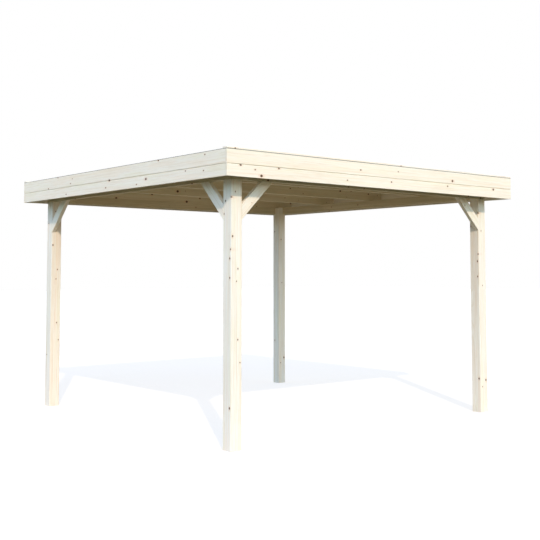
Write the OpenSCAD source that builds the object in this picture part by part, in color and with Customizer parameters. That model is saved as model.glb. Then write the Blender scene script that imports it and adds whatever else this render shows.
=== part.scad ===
// Open garden pavilion with a flat roof: four notched posts, beams seated in
// their notches, corner braces, rafters, roof boards, a two-board edge with a
// tongued joint, a roofing sheet and two cap strips.
// Millimetres, +Z up. The origin is on the ground, under the centre of the
// roof. The front is the -Y side.

/* [Frame] */
// Width over the outer faces of the posts
frame_w = 3590; // [2400:10:4800]
// Depth over the outer faces of the posts
frame_d = 3590; // [2400:10:4800]
// Side of the square posts
post_side = 120; // [100:5:160]
// Chamfer along the corners of the posts
post_chamfer = 5; // [2:1:12]
// Height of the seats that carry the beams
seat_h = 2370; // [1900:10:2800]
// Thickness of the beams, which is the depth of the post notches
beam_t = 45; // [30:1:60]
// Height of the beams
beam_h = 90; // [70:5:160]

/* [Braces] */
// Thickness of the braces
brace_t = 45; // [30:1:60]
// Width of the braces
brace_w = 95; // [60:5:120]
// Reach of the braces, from the post along the beam and down the post
brace_reach = 355; // [250:5:600]

/* [Roof] */
// Overhang of the roof past the outer faces of the posts
overhang = 205; // [130:5:400]
// Thickness of the rafters
rafter_t = 45; // [30:1:60]
// Height of the rafters
rafter_h = 120; // [90:5:200]
// Number of equal bays that the rafters make between front and back
bays = 4; // [2:1:6]
// Thickness of the roof boards
deck_t = 22; // [15:1:30]
// Thickness of the roofing sheet
sheet_t = 5; // [2:0.5:8]

/* [Roof edge] */
// Thickness of the edge boards
edge_t = 22; // [18:1:30]
// How far the edge boards hang below the seats of the beams
edge_drop = 0; // [0:1:40]
// How far the joint between the edge boards lies above the rafters' bottoms
joint_rise = 17; // [12:1:60]
// Height of the tongue on the lower edge board
tongue_h = 8; // [4:1:12]
// Thickness of the tongue
tongue_t = 6; // [4:1:8]
// Chamfer along both sides of the joint between the edge boards
joint_chamfer = 4; // [1:0.5:4]
// Open gap of that joint
joint_gap = 2.5; // [0.5:0.1:3]
// Width of the cap strips
cap_w = 60; // [40:5:90]
// Thickness of the cap strips
cap_t = 14; // [10:1:25]

/* [Planed timber] */
// Chamfer along the edges of beams, braces and rafters
timber_chamfer = 3; // [1:0.5:5]
// Chamfer along the outer edges of edge boards and cap strips
board_chamfer = 1.5; // [0.5:0.5:3]

/* [Hidden] */
// clearance on each side of the tongue
tongue_clear = 0.4;
// how far a cutting block runs past what it cuts
cut = 1;
// heights of what is stacked on the seats
rafter_z = seat_h + beam_h;
deck_z = rafter_z + rafter_h;
sheet_z = deck_z + deck_t;
cap_z = sheet_z + sheet_t;
// outline of the roof, and of what the edge boards enclose
roof_w = frame_w + 2 * overhang;
roof_d = frame_d + 2 * overhang;
core_w = roof_w - 2 * edge_t;
core_d = roof_d - 2 * edge_t;
// edge boards, and the height of the lower one up to the joint
edge_z = seat_h - edge_drop;
edge_h = sheet_z - edge_z;
lower_h = edge_drop + beam_h + joint_rise;
// rafters stand at equal steps from over the front beam to over the back beam
first_rafter_y = -(frame_d - beam_t) / 2;
rafter_step = (frame_d - beam_t) / bays;
edge_rafter_y = (core_d - rafter_t) / 2;
rafter_names = [for (i = [0:bays]) str("rafter_", i + 1)];

POST_NODES = ["post_front_left", "post_front_right", "post_back_left", "post_back_right"];
BEAM_NODES = ["beam_front", "beam_back", "beam_left", "beam_right"];
BRACE_NODES = ["brace_front_left", "brace_front_right", "brace_left_front", "brace_left_back"];
RAFTER_NODES = concat(["edge_rafter_front"], rafter_names, ["edge_rafter_back"]);
EDGE_NODES = [for (side = ["front", "back", "left", "right"], row = ["lower", "upper"])
    str("edge_", side, "_", row)];
TOP_NODES = ["roof_boards", "roofing_sheet", "cap_front", "cap_back"];

// rectangle with all four corners chamfered
function eased(w, h, c) = [
    [c, 0], [w - c, 0], [w, c], [w, h - c],
    [w - c, h], [c, h], [0, h - c], [0, c]
];

// section of the lower edge board, outer face at 0, with a tongue on top
function lower_section() = let (
    shoulder = lower_h - joint_gap / 2,
    near = (edge_t - tongue_t) / 2,
    far = (edge_t + tongue_t) / 2
) [
    [board_chamfer, 0], [edge_t - board_chamfer, 0], [edge_t, board_chamfer],
    [edge_t, shoulder], [far, shoulder], [far, shoulder + tongue_h],
    [near, shoulder + tongue_h], [near, shoulder], [joint_chamfer, shoulder],
    [0, shoulder - joint_chamfer], [0, board_chamfer]
];

// section of the upper edge board, with the groove that the tongue fits
function upper_section() = let (
    foot = lower_h + joint_gap / 2,
    near = (edge_t - tongue_t) / 2 - tongue_clear,
    far = (edge_t + tongue_t) / 2 + tongue_clear,
    roof = foot + tongue_h + tongue_clear
) [
    [joint_chamfer, foot], [near, foot], [near, roof], [far, roof], [far, foot],
    [edge_t, foot], [edge_t, edge_h], [0, edge_h], [0, foot + joint_chamfer]
];

// bar along +X from the origin, its section in Y and Z
module bar_x(length, section) {
    rotate([90, 0, 90]) linear_extrude(length) polygon(section);
}

// bar along +Y from the origin, its section in X and Z
module bar_y(length, section) {
    translate([0, length, 0]) rotate([90, 0, 0]) linear_extrude(length) polygon(section);
}

// carries a front left piece over to the right side, the back, or both
module carried(to_right, to_back) {
    mirror([to_right ? 1 : 0, 0, 0]) mirror([0, to_back ? 1 : 0, 0]) children();
}

// front left post: the core left by the two notches stands behind the beams
module post() {
    color("wheat") translate([-frame_w / 2, -frame_d / 2, 0]) difference() {
        linear_extrude(rafter_z) polygon(eased(post_side, post_side, post_chamfer));
        translate([-cut, -cut, seat_h]) cube([post_side + 2 * cut, beam_t + cut, beam_h + cut]);
        translate([-cut, -cut, seat_h]) cube([beam_t + cut, post_side + 2 * cut, beam_h + cut]);
    }
}

// front beam, which runs through both corners
module through_beam() {
    color("burlywood") translate([-frame_w / 2, -frame_d / 2, seat_h])
        bar_x(frame_w, eased(beam_t, beam_h, timber_chamfer));
}

// left beam, which butts between the front and back beams
module butted_beam() {
    color("burlywood") translate([-frame_w / 2, beam_t - frame_d / 2, seat_h])
        bar_y(frame_d - 2 * beam_t, eased(beam_t, beam_h, timber_chamfer));
}

// brace in the X-Z plane: its foot is cut to the post at X 0, its head to the
// beam at Z brace_reach
module brace_shape() {
    intersection() {
        rotate([0, -45, 0]) translate([-brace_reach, 0, 0])
            bar_x(3 * brace_reach, eased(brace_t, brace_w, timber_chamfer));
        cube([brace_reach, brace_t, brace_reach]);
    }
}

// brace on the front, at the left post
module front_brace() {
    color("wheat") translate([post_side - frame_w / 2, -frame_d / 2, seat_h - brace_reach])
        brace_shape();
}

// brace on the left side, at the front post
module side_brace() {
    color("wheat") translate([-frame_w / 2, post_side - frame_d / 2, seat_h - brace_reach])
        mirror([1, -1, 0]) brace_shape();
}

// rafter with its middle at the given Y
module rafter(y) {
    color("tan") translate([-core_w / 2, y - rafter_t / 2, rafter_z])
        bar_x(core_w, eased(rafter_t, rafter_h, timber_chamfer));
}

module roof_boards() {
    color("burlywood") translate([-core_w / 2, -core_d / 2, deck_z]) cube([core_w, core_d, deck_t]);
}

module roofing_sheet() {
    color("dimgray") translate([-roof_w / 2, -roof_d / 2, sheet_z]) cube([roof_w, roof_d, sheet_t]);
}

// front edge board, which covers the ends of the side boards
module through_edge(section) {
    color("cornsilk") translate([-roof_w / 2, -roof_d / 2, edge_z]) bar_x(roof_w, section);
}

// left edge board, between the front and back boards
module butted_edge(section) {
    color("cornsilk") translate([-roof_w / 2, -core_d / 2, edge_z]) bar_y(core_d, section);
}

// front cap strip, over the roofing sheet
module cap() {
    color("cornsilk") translate([-roof_w / 2, -roof_d / 2, cap_z])
        bar_x(roof_w, eased(cap_w, cap_t, board_chamfer));
}

post();  // post_front_left
carried(true, false) post();  // post_front_right
carried(false, true) post();  // post_back_left
carried(true, true) post();  // post_back_right
through_beam();  // beam_front
carried(false, true) through_beam();  // beam_back
butted_beam();  // beam_left
carried(true, false) butted_beam();  // beam_right
front_brace();  // brace_front_left
carried(true, false) front_brace();  // brace_front_right
side_brace();  // brace_left_front
carried(false, true) side_brace();  // brace_left_back
rafter(-edge_rafter_y);  // edge_rafter_front
rafter(edge_rafter_y);  // edge_rafter_back
for (i = [0:bays])
    rafter(first_rafter_y + i * rafter_step);
roof_boards();
through_edge(lower_section());  // edge_front_lower
through_edge(upper_section());  // edge_front_upper
carried(false, true) through_edge(lower_section());  // edge_back_lower
carried(false, true) through_edge(upper_section());  // edge_back_upper
butted_edge(lower_section());  // edge_left_lower
butted_edge(upper_section());  // edge_left_upper
carried(true, false) butted_edge(lower_section());  // edge_right_lower
carried(true, false) butted_edge(upper_section());  // edge_right_upper
roofing_sheet();
cap();  // cap_front
carried(false, true) cap();  // cap_back
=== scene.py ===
import math

import bmesh
import bpy
from mathutils import Euler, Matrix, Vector


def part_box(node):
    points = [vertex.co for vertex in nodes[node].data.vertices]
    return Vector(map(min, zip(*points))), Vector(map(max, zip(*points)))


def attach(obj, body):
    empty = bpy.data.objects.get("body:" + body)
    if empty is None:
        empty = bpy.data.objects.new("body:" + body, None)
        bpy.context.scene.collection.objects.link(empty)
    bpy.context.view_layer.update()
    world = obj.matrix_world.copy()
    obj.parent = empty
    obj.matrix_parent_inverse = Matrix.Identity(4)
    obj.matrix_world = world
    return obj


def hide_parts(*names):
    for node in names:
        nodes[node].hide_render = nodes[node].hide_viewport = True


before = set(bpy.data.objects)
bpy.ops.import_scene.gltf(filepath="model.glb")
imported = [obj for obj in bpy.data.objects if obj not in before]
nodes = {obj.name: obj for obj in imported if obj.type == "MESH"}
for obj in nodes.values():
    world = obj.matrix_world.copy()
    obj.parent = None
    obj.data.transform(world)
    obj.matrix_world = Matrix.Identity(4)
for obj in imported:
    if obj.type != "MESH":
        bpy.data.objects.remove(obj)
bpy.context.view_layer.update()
print("frame loaded:", len(nodes), "nodes")


def feed(tree, socket, value):
    # a socket is linked, anything else becomes the socket's own value
    if isinstance(value, bpy.types.NodeSocket):
        tree.links.new(value, socket)
    else:
        socket.default_value = value


def calc(tree, operation, *values):
    step = tree.nodes.new("ShaderNodeMath")
    step.operation = operation
    for socket, value in zip(step.inputs, values):
        feed(tree, socket, value)
    return step.outputs["Value"]


def calcVector(tree, operation, *values):
    step = tree.nodes.new("ShaderNodeVectorMath")
    step.operation = operation
    inputs = [step.inputs[0], step.inputs["Scale"]] if operation == "SCALE" else step.inputs
    for socket, value in zip(inputs, values):
        feed(tree, socket, value)
    single = operation in ("LENGTH", "DOT_PRODUCT")
    return step.outputs["Value" if single else "Vector"]


def axes(tree, place):
    split = tree.nodes.new("ShaderNodeSeparateXYZ")
    feed(tree, split.inputs[0], place)
    return split.outputs


def ramp(tree, value, start, end, low=0.0, high=1.0):
    # low before start, high after end, and a soft step between them
    step = tree.nodes.new("ShaderNodeMapRange")
    step.interpolation_type = "SMOOTHSTEP"
    feed(tree, step.inputs["Value"], value)
    feed(tree, step.inputs["From Min"], start)
    feed(tree, step.inputs["From Max"], end)
    feed(tree, step.inputs["To Min"], low)
    feed(tree, step.inputs["To Max"], high)
    return step.outputs["Result"]


def noise(tree, place, detail=2.0, roughness=0.5):
    step = tree.nodes.new("ShaderNodeTexNoise")
    feed(tree, step.inputs["Vector"], place)
    feed(tree, step.inputs["Scale"], 1.0)
    feed(tree, step.inputs["Detail"], detail)
    feed(tree, step.inputs["Roughness"], roughness)
    return step.outputs


def sway(tree, place, detail=2.0, roughness=0.5):
    # a shift that differs along each axis and is half of one at most
    return calcVector(tree, "SUBTRACT", noise(tree, place, detail, roughness)["Color"], (0.5, 0.5, 0.5))


def stretched(tree, place, along, across):
    # how many waves a metre along the grain and across it
    return calcVector(tree, "MULTIPLY", place, (along, across, across))


def mixColour(tree, share, first, second, way="MIX"):
    step = tree.nodes.new("ShaderNodeMix")
    step.data_type = "RGBA"
    step.blend_type = way
    # sockets 6 and 7 and output 2 are the ones for colours
    feed(tree, step.inputs[0], share)
    feed(tree, step.inputs[6], first)
    feed(tree, step.inputs[7], second)
    return step.outputs[2]


def newGroup(name, inputs, outputs):
    group = bpy.data.node_groups.new(name, "ShaderNodeTree")
    kinds = {"vector": "NodeSocketVector", "value": "NodeSocketFloat", "colour": "NodeSocketColor"}
    for label, kind, start in inputs:
        socket = group.interface.new_socket(name=label, in_out="INPUT", socket_type=kinds[kind])
        socket.default_value = start
    for label, kind in outputs:
        group.interface.new_socket(name=label, in_out="OUTPUT", socket_type=kinds[kind])
    return group, group.nodes.new("NodeGroupInput").outputs, group.nodes.new("NodeGroupOutput").inputs


def placeGroup(tree, group, **values):
    step = tree.nodes.new("ShaderNodeGroup")
    step.node_tree = group
    for label, value in values.items():
        feed(tree, step.inputs[label], value)
    return step.outputs


def newMaterial(name):
    material = bpy.data.materials.new(name)
    material.use_nodes = True
    return material, material.node_tree, material.node_tree.nodes["Principled BSDF"]


def addRelief(tree, shader, height, strength, depth):
    relief = tree.nodes.new("ShaderNodeBump")
    feed(tree, relief.inputs["Height"], height)
    feed(tree, relief.inputs["Strength"], strength)
    feed(tree, relief.inputs["Distance"], depth)
    feed(tree, shader.inputs["Normal"], relief.outputs[0])


def newPiece(name, mesh):
    data = bpy.data.meshes.new(name)
    mesh.to_mesh(data)
    mesh.free()
    piece = bpy.data.objects.new(name, data)
    bpy.context.scene.collection.objects.link(piece)
    return piece


def dress(piece, material):
    piece.data.materials.clear()
    piece.data.materials.append(material)


# Stretch draws a part of a knot out along the grain, and the smaller it is the longer the part.
# Fades are in radii: where a part starts to fade, and where it is gone.
# Cell is the board's length and width for one knot, in metres, and wobble is in metres too.
# A scattered knot is between smallest and smallest + spread times the given size.
knot = {
    "stretch": {"core": 0.85, "halo": 0.5, "bulge": 0.45},
    "fades": {"core": (0.8, 1.15), "halo": (0.7, 2.3), "bulge": (0.0, 3.6)},
    "rimSteps": (0.3, 0.8),
    "wobbleWaves": 150.0, "wobble": 0.004,
    "cell": (0.26, 0.075, 1.0),
    "smallest": 0.35, "spread": 1.4, "rarity": 2.5,
    "taper": 0.15,
}
knotParts = ("Core", "Rim", "Halo", "Bulge")
knotOutputs = [(part, "value") for part in knotParts]


def knotMasks(group, away, radius, here):
    # a dark ring round a brown heart, and a reddish halo drawn out along the grain
    def reach(part):
        run = calcVector(group, "MULTIPLY", away, (knot["stretch"][part], 1.0, 1.0))
        return calc(group, "DIVIDE", calcVector(group, "LENGTH", run), radius)

    def fading(part, distance):
        return calc(group, "MULTIPLY", here, ramp(group, distance, *knot["fades"][part], 1.0, 0.0))

    outline = reach("core")
    core = fading("core", outline)
    return {
        "Core": core,
        "Rim": calc(group, "MULTIPLY", core, ramp(group, outline, *knot["rimSteps"])),
        "Halo": fading("halo", reach("halo")),
        "Bulge": calc(group, "MULTIPLY", fading("bulge", reach("bulge")), radius),
    }


def wobble(group, place):
    # a knot's outline is uneven by up to half the wobble
    rough = sway(group, stretched(group, place, knot["wobbleWaves"], knot["wobbleWaves"]))
    return calcVector(group, "SCALE", rough, knot["wobble"])


def makeKnotGroup():
    # one knot at most in each cell of the face
    group, given, out = newGroup("scatteredKnots", [
        ("Vector", "vector", (0, 0, 0)),
        ("Size", "value", 0.008),
        ("Share", "value", 0.5),
        ("Cell", "vector", knot["cell"]),
    ], knotOutputs)
    where = axes(group, given["Vector"])
    flat = group.nodes.new("ShaderNodeCombineXYZ")
    feed(group, flat.inputs["X"], where["X"])
    feed(group, flat.inputs["Y"], calc(group, "ADD", where["Y"], where["Z"]))
    inCells = calcVector(group, "DIVIDE", flat.outputs[0], given["Cell"])
    cells = group.nodes.new("ShaderNodeTexVoronoi")
    cells.voronoi_dimensions = "2D"
    feed(group, cells.inputs["Vector"], inCells)
    feed(group, cells.inputs["Scale"], 1.0)
    away = calcVector(group, "SUBTRACT", inCells, cells.outputs["Position"])
    away = calcVector(group, "MULTIPLY", away, given["Cell"])
    away = calcVector(group, "ADD", away, wobble(group, flat.outputs[0]))
    away = calcVector(group, "MULTIPLY", away, (1.0, 1.0, 0.0))
    luck = group.nodes.new("ShaderNodeSeparateColor")
    feed(group, luck.inputs[0], cells.outputs["Color"])
    spread = calc(group, "POWER", luck.outputs["Red"], knot["rarity"])
    spread = calc(group, "MULTIPLY_ADD", spread, knot["spread"], knot["smallest"])
    here = calc(group, "LESS_THAN", luck.outputs["Green"], given["Share"])
    masks = knotMasks(group, away, calc(group, "MULTIPLY", given["Size"], spread), here)
    for part in knotParts:
        feed(group, out[part], masks[part])
    return group


def makeBranchGroup():
    # one knot at a chosen place, thinner towards the middle of the timber
    group, given, out = newGroup("singleKnot", [
        ("Vector", "vector", (0, 0, 0)),
        ("Centre", "vector", (0, 0, 0)),
        ("Grain", "vector", (1, 0, 0)),
        ("Branch", "vector", (0, 1, 0)),
        ("Radius", "value", 0.006),
    ], knotOutputs)
    away = calcVector(group, "SUBTRACT", given["Vector"], given["Centre"])
    away = calcVector(group, "ADD", away, wobble(group, given["Vector"]))
    lengthways = calcVector(group, "DOT_PRODUCT", away, given["Grain"])
    inwards = calcVector(group, "DOT_PRODUCT", away, given["Branch"])
    side = calcVector(group, "SUBTRACT", away, calcVector(group, "SCALE", given["Grain"], lengthways))
    side = calcVector(group, "SUBTRACT", side, calcVector(group, "SCALE", given["Branch"], inwards))
    run = group.nodes.new("ShaderNodeCombineXYZ")
    feed(group, run.inputs["X"], lengthways)
    feed(group, run.inputs["Y"], calcVector(group, "LENGTH", side))
    feed(group, run.inputs["Z"], calc(group, "MULTIPLY", inwards, knot["taper"]))
    masks = knotMasks(group, run.outputs[0], given["Radius"], 1.0)
    for part in knotParts:
        feed(group, out[part], masks[part])
    return group


# Patterns give waves a metre along the grain, waves across it, detail and roughness.
# Steps say where a pattern starts and where it is full, then its two values if not 0 and 1.
# Shares say how strongly a colour shows. Bends are in metres.
wood = {
    "patterns": {
        "drift": (0.8, 2.5, 2.0, 0.5), "ripple": (7.0, 40.0, 2.0, 0.5),
        "pace": (0.0, 24.0, 1.0, 0.5), "strength": (0.6, 18.0, 2.0, 0.5),
        "streak": (0.55, 30.0, 3.0, 0.5), "vein": (1.4, 110.0, 3.0, 0.6),
        "broad": (0.3, 6.0, 2.0, 0.5), "fibre": (30.0, 1300.0, 2.0, 0.6),
        "fleck": (9.0, 95.0, 3.0, 0.65), "patch": (1.6, 14.0, 3.0, 0.6),
    },
    "steps": {
        "lateWood": (0.35, 0.9), "nextRing": (0.93, 1.0, 1.0, 0.0), "strength": (0.3, 0.7, 0.35, 1.0),
        "streak": (0.45, 0.72), "vein": (0.45, 0.75), "broad": (0.3, 0.7), "fleck": (0.46, 0.68),
        "greener": (0.36, 0.50, 1.0, 0.0), "pinker": (0.50, 0.64), "sawnEnd": (0.75, 0.95),
    },
    "colours": {
        "greener": (0.95, 0.965, 0.86, 1), "pinker": (1.00, 0.925, 0.87, 1),
        "fibre": (0.62, 0.50, 0.34, 1), "halo": (0.74, 0.38, 0.18, 1),
        "heart": (0.20, 0.105, 0.06, 1), "rim": (0.03, 0.02, 0.015, 1),
        "sawnEnd": (0.60, 0.44, 0.26, 1),
    },
    "shares": {"streak": 0.5, "broad": 0.06, "fibre": 0.05, "halo": 0.25, "sawnEnd": 0.14},
    "bends": {"drift": 0.030, "ripple": 0.0016},
    "roughness": {"plain": 0.68, "fibre": 0.16, "knot": 0.16, "sawnEnd": 0.18},
    "heights": {"lateWood": 0.6, "fibre": 0.5},
    "unevenRings": 2.5,
    "plySpread": (60.0, 0.16, 0.06), "plyStart": (7.0, -0.08, 0.03),
}


# The grain runs along X of the given vector, whose zero is the timber's middle.
# Plies lie side by side along Y, each cut from another place in the tree.
def makeSpruceGroup(knotGroup):
    group, given, out = newGroup("planedSpruce", [
        ("Vector", "vector", (0, 0, 0)),
        ("Normal", "vector", (0, 0, 1)),
        ("Grain Direction", "vector", (1, 0, 0)),
        ("Seed", "value", 0.0),
        ("Ply", "value", 10.0),
        ("Ring", "value", 0.0034),
        ("Pale", "colour", (0.86, 0.81, 0.66, 1)),
        ("Late", "colour", (0.70, 0.53, 0.32, 1)),
        ("Warm", "colour", (0.86, 0.72, 0.50, 1)),
        ("Contrast", "value", 0.4),
        ("Veins", "value", 0.4),
        ("Flecks", "value", 0.14),
        ("Patches", "value", 0.5),
        ("Knot Size", "value", 0.008),
        ("Knot Share", "value", 0.5),
        ("Core", "value", 0.0),
        ("Rim", "value", 0.0),
        ("Halo", "value", 0.0),
        ("Bulge", "value", 0.0),
    ], [("Color", "colour"), ("Roughness", "value"), ("Height", "value")])
    steps = wood["steps"]
    colours = wood["colours"]
    shares = wood["shares"]
    roughness = wood["roughness"]
    heights = wood["heights"]

    def pattern(name, place, kind=noise):
        lengthways, crossways, detail, coarseness = wood["patterns"][name]
        return kind(group, stretched(group, place, lengthways, crossways), detail, coarseness)

    def stepped(name, place):
        return ramp(group, pattern(name, place)["Fac"], *steps[name])

    def stain(colour, mask, share, stained):
        return mixColour(group, calc(group, "MULTIPLY", mask, share), colour, stained)

    ply = calc(group, "DIVIDE", axes(group, given["Vector"])["Y"], given["Ply"])
    ply = calc(group, "FLOOR", calc(group, "ADD", ply, 0.5))
    which = group.nodes.new("ShaderNodeCombineXYZ")
    feed(group, which.inputs["X"], ply)
    feed(group, which.inputs["Y"], given["Seed"])
    draw = group.nodes.new("ShaderNodeTexWhiteNoise")
    draw.noise_dimensions = "2D"
    feed(group, draw.inputs["Vector"], which.outputs[0])
    # the middle of the tree lies a little outside the timber
    shift = calcVector(group, "MULTIPLY_ADD", draw.outputs["Color"], wood["plySpread"], wood["plyStart"])
    place = calcVector(group, "ADD", given["Vector"], shift)
    bent = place
    for name, bend in wood["bends"].items():
        bent = calcVector(group, "MULTIPLY_ADD", pattern(name, place, sway), (0.0, bend, bend), bent)

    scattered = placeGroup(group, knotGroup, **{
        "Vector": place, "Size": given["Knot Size"], "Share": given["Knot Share"]})
    knots = {part: calc(group, "MAXIMUM", scattered[part], given[part]) for part in knotParts}

    # rings round the middle of the tree, swollen where a knot passes
    radial = calcVector(group, "LENGTH", calcVector(group, "MULTIPLY", bent, (0.0, 1.0, 1.0)))
    radial = calc(group, "ADD", radial, knots["Bulge"])
    pace = calc(group, "MULTIPLY", pattern("pace", bent)["Fac"], wood["unevenRings"])
    ring = calc(group, "FRACT", calc(group, "ADD", calc(group, "DIVIDE", radial, given["Ring"]), pace))
    lateWood = calc(group, "MULTIPLY", ramp(group, ring, *steps["lateWood"]),
                    ramp(group, ring, *steps["nextRing"]))
    lateWood = calc(group, "MULTIPLY", lateWood, stepped("strength", place))
    fibre = pattern("fibre", place)["Fac"]
    # sawn ends take in more light between their fibres
    end = calcVector(group, "DOT_PRODUCT", given["Normal"], given["Grain Direction"])
    end = ramp(group, calc(group, "ABSOLUTE", end), *steps["sawnEnd"])

    # some stretches of the wood are greener, others pinker
    patch = pattern("patch", place)["Fac"]
    tint = given["Pale"]
    for name in ("greener", "pinker"):
        tint = mixColour(group, ramp(group, patch, *steps[name]), tint, colours[name], "MULTIPLY")
    colour = mixColour(group, given["Patches"], given["Pale"], tint)
    colour = stain(colour, lateWood, given["Contrast"], given["Late"])
    colour = stain(colour, stepped("fleck", bent), given["Flecks"], given["Late"])
    colour = stain(colour, stepped("streak", bent), shares["streak"], given["Warm"])
    colour = stain(colour, stepped("vein", bent), given["Veins"], given["Late"])
    colour = stain(colour, stepped("broad", place), shares["broad"], given["Late"])
    colour = stain(colour, fibre, shares["fibre"], colours["fibre"])
    colour = stain(colour, knots["Halo"], shares["halo"], colours["halo"])
    heart = mixColour(group, knots["Rim"], colours["heart"], colours["rim"])
    colour = mixColour(group, knots["Core"], colour, heart)
    feed(group, out["Color"], stain(colour, end, shares["sawnEnd"], colours["sawnEnd"]))

    rough = calc(group, "MULTIPLY_ADD", fibre, roughness["fibre"], roughness["plain"])
    rough = calc(group, "SUBTRACT", rough, calc(group, "MULTIPLY", knots["Core"], roughness["knot"]))
    rough = calc(group, "ADD", rough, calc(group, "MULTIPLY", end, roughness["sawnEnd"]))
    feed(group, out["Roughness"], rough)
    height = calc(group, "MULTIPLY", fibre, heights["fibre"])
    height = calc(group, "MULTIPLY_ADD", lateWood, heights["lateWood"], height)
    feed(group, out["Height"], calc(group, "SUBTRACT", height, knots["Rim"]))
    return group


knotGroup = makeKnotGroup()
branchGroup = makeBranchGroup()
spruceGroup = makeSpruceGroup(knotGroup)

# seedStep keeps the timbers' grain apart
timber = {"specular": 0.1, "relief": 0.35, "reliefDepth": 0.0005, "seedStep": 3.7}


def timberMaterial(name, grain, middle, seed, look, spots=()):
    material, tree, shader = newMaterial(name)
    place = tree.nodes.new("ShaderNodeTexCoord").outputs
    turn = tree.nodes.new("ShaderNodeMapping")
    spin = grain.rotation_difference(Vector((1, 0, 0)))
    turn.inputs["Rotation"].default_value = spin.to_euler("XYZ")
    turn.inputs["Location"].default_value = -(spin @ middle)
    feed(tree, turn.inputs["Vector"], place["Object"])
    knots = {}
    for centre, branch, radius in spots:
        masks = placeGroup(tree, branchGroup, **{
            "Vector": place["Object"], "Centre": centre, "Grain": grain, "Branch": branch,
            "Radius": radius})
        for part in knotParts:
            knots[part] = calc(tree, "MAXIMUM", masks[part], knots.get(part, 0.0))
    surface = placeGroup(tree, spruceGroup, **{
        "Vector": turn.outputs[0], "Normal": place["Normal"], "Grain Direction": grain,
        "Seed": seed, **look, **knots})
    feed(tree, shader.inputs["Base Color"], surface["Color"])
    feed(tree, shader.inputs["Roughness"], surface["Roughness"])
    feed(tree, shader.inputs["Specular IOR Level"], timber["specular"])
    addRelief(tree, shader, surface["Height"], timber["relief"], timber["reliefDepth"])
    return material


pale = {"Pale": (0.945, 0.920, 0.825, 1), "Late": (0.72, 0.60, 0.43, 1), "Warm": (0.94, 0.85, 0.68, 1)}
looks = {
    "post": {**pale, "Pale": (0.955, 0.95, 0.885, 1), "Ply": 0.04, "Contrast": 0.3, "Veins": 0.5,
             "Knot Share": 0.2, "Knot Size": 0.006},
    # painted shade: the beams' Pale is darker and browner than the same spruce elsewhere, for the dim
    # space under the roof
    "beam": {**pale, "Pale": (0.66, 0.595, 0.42, 1), "Contrast": 0.4,
             "Knot Share": 0.3, "Knot Size": 0.007},
    "brace": {**pale, "Pale": (0.95, 0.94, 0.855, 1), "Contrast": 0.3, "Veins": 0.5,
              "Knot Share": 0.3, "Knot Size": 0.005},
    # painted shade: the rafters' Pale is darker and browner than the same spruce elsewhere, for the dim
    # space under the roof
    "rafter": {**pale, "Pale": (0.76, 0.685, 0.50, 1), "Contrast": 0.4,
               "Knot Share": 0.45, "Knot Size": 0.009},
    "edge": {**pale, "Contrast": 0.3, "Knot Share": 0.24, "Knot Size": 0.008},
    "cap": {**pale, "Pale": (0.975, 0.965, 0.91, 1), "Contrast": 0.2,
            "Knot Share": 0.2, "Knot Size": 0.007},
    # painted shade: the roof boarding's Pale is darker and browner than the same spruce elsewhere, for the
    # dim space under the roof
    "boarding": {**pale, "Pale": (0.85, 0.79, 0.61, 1), "Contrast": 0.4, "Knot Share": 0.3},
}
along = {"x": Vector((1, 0, 0)), "y": Vector((0, 1, 0)), "z": Vector((0, 0, 1))}


def grainOf(name):
    low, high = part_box(name)
    span = high - low
    if name.startswith("brace"):
        # a brace leans from its post towards the middle of its side
        middle = (low + high) / 2
        axis = "x" if span.x > span.y else "y"
        lean = -math.copysign(1, middle.x if axis == "x" else middle.y)
        return (along[axis] * lean + along["z"]).normalized()
    longest = max(range(3), key=lambda axis: span[axis])
    return along["xyz"[longest]]


# knots on the edge boards: metres along the side from its middle, height, radius in mm
boardKnots = {
    "edge_front_upper": [(-0.39, 2.53, 7), (0.14, 2.55, 5), (0.98, 2.51, 12)],
    "edge_front_lower": [(-1.85, 2.47, 9), (-1.69, 2.44, 6), (-1.62, 2.39, 12), (-1.42, 2.47, 8),
                         (-0.57, 2.42, 6), (0.04, 2.44, 7), (0.90, 2.45, 7), (1.68, 2.46, 11)],
    "edge_left_upper": [(-1.68, 2.58, 6), (-0.93, 2.60, 9), (-0.01, 2.48, 12), (0.79, 2.56, 5),
                        (0.83, 2.51, 6), (1.13, 2.60, 8), (1.36, 2.49, 7)],
    "edge_left_lower": [(-1.66, 2.44, 6), (-1.38, 2.46, 6), (-0.71, 2.44, 12), (-0.54, 2.40, 6),
                        (-0.01, 2.48, 12), (0.06, 2.41, 7), (0.93, 2.40, 6), (1.36, 2.49, 7)],
    "cap_front": [(-1.91, 2.61, 6), (0.18, 2.61, 5)],
}
# knots on the posts' front and left faces: metres from the post's middle, height, radius in mm
postKnots = {
    "front of left": [(-0.015, 2.26, 5), (-0.045, 1.865, 8), (0.015, 1.58, 6), (0.0, 1.47, 5),
                      (0.015, 0.96, 6), (0.04, 0.76, 5)],
    "front of right": [(-0.015, 2.01, 6), (0.0, 1.40, 5), (0.035, 0.35, 10), (-0.025, 0.28, 5)],
    "left of front": [(-0.055, 2.21, 6), (0.025, 2.18, 7), (0.045, 2.065, 6), (-0.05, 1.75, 7),
                      (-0.04, 1.67, 8), (-0.04, 1.50, 7), (-0.04, 0.37, 9)],
    "left of back": [(0.025, 2.12, 6), (0.025, 0.59, 6)],
}


def knotsOn(name):
    # the middle of each knot, the way its branch runs, and its radius in metres
    low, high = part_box(name)
    middle = (low + high) / 2
    if name.startswith("post"):
        row, side = name.split("_")[1:]
        onFront = postKnots["front of " + side]
        onLeft = postKnots["left of " + row]
    else:
        onFront = boardKnots.get(name, []) if "front" in name else []
        onLeft = boardKnots.get(name, []) if "left" in name else []
    spots = [(Vector((middle.x + spot, low.y, height)), along["y"], size / 1000)
             for spot, height, size in onFront]
    spots += [(Vector((low.x, middle.y + spot, height)), along["x"], size / 1000)
              for spot, height, size in onLeft]
    return spots


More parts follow.
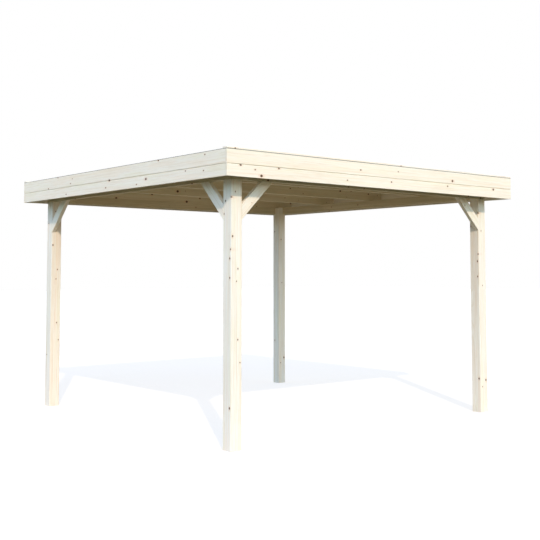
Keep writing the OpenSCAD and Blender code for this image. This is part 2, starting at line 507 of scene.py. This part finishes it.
for count, name in enumerate(sorted(nodes)):
    kind = name.replace("edge_rafter", "rafter").split("_")[0]
    if kind in looks:
        low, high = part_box(name)
        look = dict(looks[kind])
        spots = knotsOn(name)
        if spots:
            look["Knot Share"] = 0.0
        dress(nodes[name], timberMaterial(name + "_spruce", grainOf(name), (low + high) / 2,
                                          count * timber["seedStep"], look, spots))
print("timbers dressed")


roofBoard = {"count": 41, "gap": 0.0012, "groove": 0.004, "seed": 311.0}


def buildRoofBoards():
    low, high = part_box("roof_boards")
    middle = (low + high) / 2
    pitch = (high.x - low.x) / roofBoard["count"]
    mesh = bmesh.new()
    for row in range(roofBoard["count"]):
        board = bmesh.ops.create_cube(mesh, size=1.0)["verts"]
        size = Vector((pitch - roofBoard["gap"], high.y - low.y, high.z - low.z))
        bmesh.ops.scale(mesh, vec=size, verts=board)
        centre = Vector((low.x + (row + 0.5) * pitch, 0, middle.z))
        bmesh.ops.translate(mesh, vec=centre, verts=board)
    # the long edges of each board's lower face
    grooves = [edge for edge in mesh.edges if edge.calc_length() > pitch
               and all(corner.co.z < middle.z for corner in edge.verts)]
    bmesh.ops.bevel(mesh, geom=grooves, offset=roofBoard["groove"], segments=1, profile=0.5,
                    affect="EDGES", material=-1)
    piece = newPiece("roof_boarding", mesh)
    dress(piece, timberMaterial("boarding_spruce", along["y"], Vector((0, 0, middle.z)),
                                roofBoard["seed"], {**looks["boarding"], "Ply": pitch}))
    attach(piece, "root")
    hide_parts("roof_boards")


buildRoofBoards()
print("roof boards laid")


# rolls of felt run from left to right, each lapped over the next
felt = {
    "roll": 1.0, "lap": 0.006, "lapColour": (0.13, 0.13, 0.12, 1), "lapShare": 0.7,
    "grit": 420.0, "gritShare": 0.4, "granule": 60.0, "granuleShare": 0.6, "speckSteps": (0.36, 0.66),
    "detail": 3.0, "coarseness": 0.7,
    "dark": (0.21, 0.21, 0.185, 1), "light": (0.39, 0.385, 0.345, 1),
    "cloud": (2.2, 1.1), "cloudDetail": 4.0,
    "wornSteps": (0.4, 0.65), "wornShare": 0.6, "worn": (0.27, 0.27, 0.23, 1),
    "roughSteps": (0.2, 0.8), "roughness": (0.8, 0.98), "specular": 0.2,
    "relief": 0.6, "reliefDepth": 0.0008,
}


def roofingMaterial():
    material, tree, shader = newMaterial("roofing_felt")
    place = tree.nodes.new("ShaderNodeTexCoord").outputs["Object"]

    def grains(waves):
        return noise(tree, stretched(tree, place, waves, waves), felt["detail"], felt["coarseness"])["Fac"]

    grit = grains(felt["grit"])
    granule = grains(felt["granule"])
    cloud = noise(tree, stretched(tree, place, *felt["cloud"]), felt["cloudDetail"])["Fac"]
    speck = calc(tree, "MULTIPLY_ADD", granule, felt["granuleShare"],
                 calc(tree, "MULTIPLY", grit, felt["gritShare"]))
    colour = mixColour(tree, ramp(tree, speck, *felt["speckSteps"]), felt["dark"], felt["light"])
    worn = ramp(tree, cloud, *felt["wornSteps"], 0.0, felt["wornShare"])
    colour = mixColour(tree, worn, colour, felt["worn"])
    fromLap = calc(tree, "PINGPONG", axes(tree, place)["Y"], felt["roll"] / 2)
    lap = ramp(tree, fromLap, felt["lap"] / 2, felt["lap"], 1.0, 0.0)
    colour = mixColour(tree, calc(tree, "MULTIPLY", lap, felt["lapShare"]), colour, felt["lapColour"])
    feed(tree, shader.inputs["Base Color"], colour)
    feed(tree, shader.inputs["Roughness"], ramp(tree, grit, *felt["roughSteps"], *felt["roughness"]))
    feed(tree, shader.inputs["Specular IOR Level"], felt["specular"])
    addRelief(tree, shader, calc(tree, "SUBTRACT", speck, lap), felt["relief"], felt["reliefDepth"])
    return material


dress(nodes["roofing_sheet"], roofingMaterial())
print("roofing laid")


def plainToEye(tree, unseen, seen):
    # the camera and reflections meet the plain backdrop, and all other rays its light
    rays = tree.nodes.new("ShaderNodeLightPath").outputs
    share = calc(tree, "MAXIMUM", rays["Is Camera Ray"],
                 calc(tree, "MAXIMUM", rays["Is Glossy Ray"], rays["Is Transmission Ray"]))
    pick = tree.nodes.new("ShaderNodeMixShader")
    feed(tree, pick.inputs[0], share)
    feed(tree, pick.inputs[1], unseen)
    feed(tree, pick.inputs[2], seen)
    return pick.outputs[0]


# what is seen of the floor, and what light it throws back under the roof and past it
floorLook = {
    "side": 120.0, "seen": (0.40, 0.40, 0.40, 1), "glow": 0.62,
    "padBounce": (0.36, 0.285, 0.215, 1), "padReach": 2.4, "farBounce": (0.10, 0.11, 0.07, 1),
}


def buildFloor():
    mesh = bmesh.new()
    bmesh.ops.create_grid(mesh, x_segments=1, y_segments=1, size=floorLook["side"] / 2)
    floor = newPiece("floor", mesh)
    material, tree, shader = newMaterial("pale_floor")
    tree.nodes.remove(shader)
    ground = axes(tree, tree.nodes.new("ShaderNodeTexCoord").outputs["Object"])
    reach = calc(tree, "MAXIMUM", calc(tree, "ABSOLUTE", ground["X"]), calc(tree, "ABSOLUTE", ground["Y"]))
    nearby = calc(tree, "LESS_THAN", reach, floorLook["padReach"])
    bounce = tree.nodes.new("ShaderNodeBsdfDiffuse")
    feed(tree, bounce.inputs["Color"], mixColour(
        tree, nearby, floorLook["farBounce"], floorLook["padBounce"]))
    seen = tree.nodes.new("ShaderNodeBsdfDiffuse")
    feed(tree, seen.inputs["Color"], floorLook["seen"])
    glow = tree.nodes.new("ShaderNodeEmission")
    feed(tree, glow.inputs["Strength"], floorLook["glow"])
    both = tree.nodes.new("ShaderNodeAddShader")
    feed(tree, both.inputs[0], seen.outputs[0])
    feed(tree, both.inputs[1], glow.outputs[0])
    surface = plainToEye(tree, bounce.outputs[0], both.outputs[0])
    feed(tree, tree.nodes["Material Output"].inputs["Surface"], surface)
    dress(floor, material)


# The sky changes with its height, is cooler low on the left, and even at the back and right.
# Each list goes up from the horizon, and high is the top of the sky.
skyLook = {
    "left": [(0.48, 0.51, 0.56, 1), (1.05, 1.64, 1.92, 1), (1.05, 1.20, 1.85, 1)],
    "rest": [(1.02, 0.68, 0.36, 1), (1.84, 2.15, 2.17, 1), (1.06, 1.39, 1.83, 1)],
    "back": [(1.75, 1.60, 1.50, 1)], "high": (0.04, 0.04, 0.05, 1),
    "heightSteps": [(0.07, 0.17), (0.27, 0.41), (0.65, 0.90)],
    "leftSteps": (-0.85, -0.45), "backSteps": (0.4, 0.8),
}


def buildSky():
    world = bpy.data.worlds.new("studio")
    bpy.context.scene.world = world
    world.use_nodes = True
    tree = world.node_tree
    sky = tree.nodes["Background"]
    way = axes(tree, tree.nodes.new("ShaderNodeTexCoord").outputs["Generated"])

    def bands(colours):
        colour = colours[0]
        steps = skyLook["heightSteps"][-len(colours):]
        for (start, end), higher in zip(steps, [*colours[1:], skyLook["high"]]):
            colour = mixColour(tree, ramp(tree, way["Z"], start, end), colour, higher)
        return colour

    toLeft = ramp(tree, way["X"], *skyLook["leftSteps"], 1.0, 0.0)
    toBack = ramp(tree, calc(tree, "ADD", way["X"], way["Y"]), *skyLook["backSteps"])
    front = mixColour(tree, toLeft, bands(skyLook["rest"]), bands(skyLook["left"]))
    feed(tree, sky.inputs["Color"], mixColour(tree, toBack, front, bands(skyLook["back"])))
    white = tree.nodes.new("ShaderNodeBackground")
    feed(tree, white.inputs["Color"], (1, 1, 1, 1))
    surface = plainToEye(tree, sky.outputs[0], white.outputs[0])
    feed(tree, tree.nodes["World Output"].inputs["Surface"], surface)


sunLook = {"from": (-0.806, -1.35, 1.0), "colour": (1.0, 0.79, 0.61), "strength": 2.2, "angle": 0.8}


def buildSun():
    lamp = bpy.data.lights.new("sun", "SUN")
    lamp.energy = sunLook["strength"]
    lamp.color = sunLook["colour"]
    lamp.angle = math.radians(sunLook["angle"])
    sun = bpy.data.objects.new("sun", lamp)
    sun.rotation_euler = Vector(sunLook["from"]).to_track_quat("Z", "Y").to_euler()
    bpy.context.scene.collection.objects.link(sun)


view = {"place": (-6.6207, -8.1628, 1.5553), "turn": -39.594, "tilt": 3.634, "lens": 60.75,
        "sensor": 36.0, "shift": -0.1043}


def buildCamera():
    lens = bpy.data.cameras.new("camera")
    lens.sensor_width = view["sensor"]
    lens.lens = view["lens"]
    lens.shift_y = view["shift"]
    camera = bpy.data.objects.new("camera", lens)
    camera.location = view["place"]
    camera.rotation_euler = Euler((math.radians(90 + view["tilt"]), 0, math.radians(view["turn"])))
    bpy.context.scene.collection.objects.link(camera)
    bpy.context.scene.camera = camera


buildFloor()
buildSky()
buildSun()
buildCamera()
bpy.context.scene.view_settings.view_transform = "Standard"
print("stage set")
